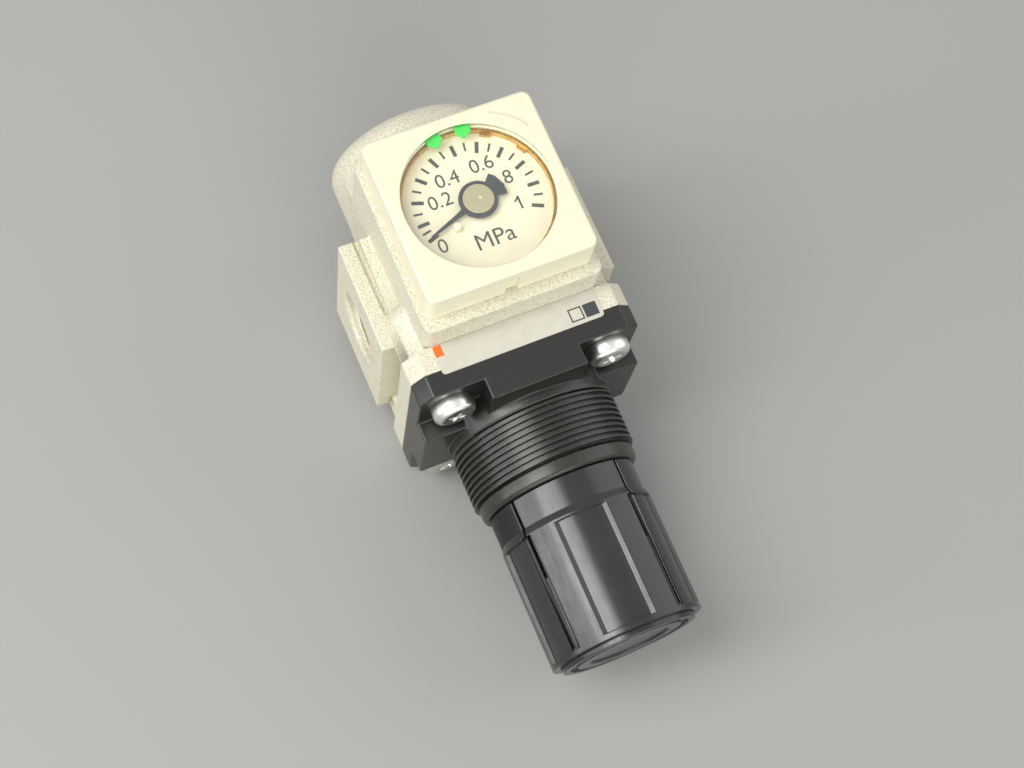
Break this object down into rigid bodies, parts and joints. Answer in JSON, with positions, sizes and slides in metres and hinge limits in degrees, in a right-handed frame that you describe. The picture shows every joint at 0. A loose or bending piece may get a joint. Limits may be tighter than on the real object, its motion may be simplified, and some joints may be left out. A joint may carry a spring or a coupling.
{
  "type": "air pressure regulator",
  "caption": "Compact in-line air pressure regulator with a square dial gauge, threaded panel collar, push-lock setting knob and a threaded port on each side.",
  "frame": {"origin": "on the back face, under the crossing of the port axis and the knob axis", "axes": "+X toward the outlet port, +Y along the knob axis toward the closed barrel end (the knob points to -Y), +Z out of the gauge's face"},
  "size_m": [0.04, 0.0929, 0.0501],
  "materials": {
    "painted_body": "fine sandy paint",
    "black_nylon": "satin glass-filled",
    "zinc_screw": "zinc plated",
    "label_white": "printed film",
    "guide_black": "satin",
    "rubber_black": "matt",
    "spring_steel": "bright wire",
    "brass": "turned",
    "aluminium_plate": "satin",
    "washer_nylon": "natural",
    "knob_black": "smooth",
    "gauge_ivory": "smooth moulded",
    "dial_cream": "printed",
    "pointer_black": "satin",
    "pointer_cap_champagne": "spun",
    "peg_white": "smooth",
    "marker_green": "moulded",
    "window_clear": "clear moulded"
  },
  "bodies": {
    "housing": {"body": "painted_body", "bonnet": "black_nylon", "bonnet_screws": "zinc_screw", "nameplate": "label_white", "valve_guide": "guide_black", "guide_o_ring": "rubber_black", "guide_clip": "spring_steel", "valve_spring": "spring_steel", "diaphragm": "rubber_black", "setting_spring": "spring_steel", "thrust_washer": "washer_nylon", "gauge_case": "gauge_ivory", "gauge_stem": "brass", "gauge_o_ring": "rubber_black", "gauge_screws": "zinc_screw", "bourdon_spiral": "brass", "gauge_bridge": "brass", "dial_plate": "dial_cream", "dial_ring": "brass", "stop_peg": "peg_white"},
    "screw": {"setting_screw": "spring_steel"},
    "knob": {"knob": "knob_black", "knob_cap": "knob_black"},
    "nut": {"setting_nut": "brass"},
    "diaphragm_centre": {"diaphragm_plate": "aluminium_plate", "relief_seat": "brass"},
    "valve": {"valve_stem": "brass", "valve_seal": "rubber_black"},
    "pointer": {"pointer_shaft": "brass", "pointer": "pointer_black", "pointer_cap": "pointer_cap_champagne"},
    "low_marker": {"low_limit_marker": "marker_green"},
    "high_marker": {"high_limit_marker": "marker_green"},
    "cover": {"gauge_cover": "gauge_ivory", "gauge_window": "window_clear"}
  },
  "joints": [
    {"name": "knob_turn", "type": "hinge", "parent": "housing", "child": "screw", "pos_m": [0, 0, 0.0185], "axis": [0, 1, 0], "range_deg": [0, 1260]},
    {"name": "knob_pull", "type": "slide", "parent": "screw", "child": "knob", "axis": [0, -1, 0], "range_m": [0, 0.0022]},
    {"name": "nut_travel", "type": "slide", "parent": "housing", "child": "nut", "axis": [0, 1, 0], "range_m": [0, 0.00355], "deforming": ["setting_spring"]},
    {"name": "diaphragm_travel", "type": "slide", "parent": "housing", "child": "diaphragm_centre", "axis": [0, 1, 0], "range_m": [0, 0.0008], "stiffness_N_per_m": 300, "deforming": ["diaphragm"]},
    {"name": "valve_lift", "type": "slide", "parent": "housing", "child": "valve", "axis": [0, 1, 0], "range_m": [0, 0.00085], "deforming": ["valve_spring"]},
    {"name": "pointer_turn", "type": "hinge", "parent": "housing", "child": "pointer", "pos_m": [0, 0.00275, 0.0468], "axis": [0, 0, -1], "range_deg": [0, 224.4], "stiffness_Nm_per_rad": 0.000002, "deforming": ["bourdon_spiral"]},
    {"name": "low_marker_turn", "type": "hinge", "parent": "housing", "child": "low_marker", "pos_m": [0, 0.00275, 0.0482], "axis": [0, 0, 1], "range_deg": [-4, 95]},
    {"name": "high_marker_turn", "type": "hinge", "parent": "housing", "child": "high_marker", "pos_m": [0, 0.00275, 0.0482], "axis": [0, 0, 1], "range_deg": [-100, 4]},
    {"name": "cover_lift", "type": "slide", "parent": "housing", "child": "cover", "axis": [0, 0, 1], "range_m": [0, 0.012]}
  ],
  "couplings": [
    {"joint": "nut_travel", "follows": "knob_turn", "m_per_rad": 0.00015915},
    {"joint": "valve_lift", "follows": "diaphragm_travel", "ratio": 1}
  ]
}
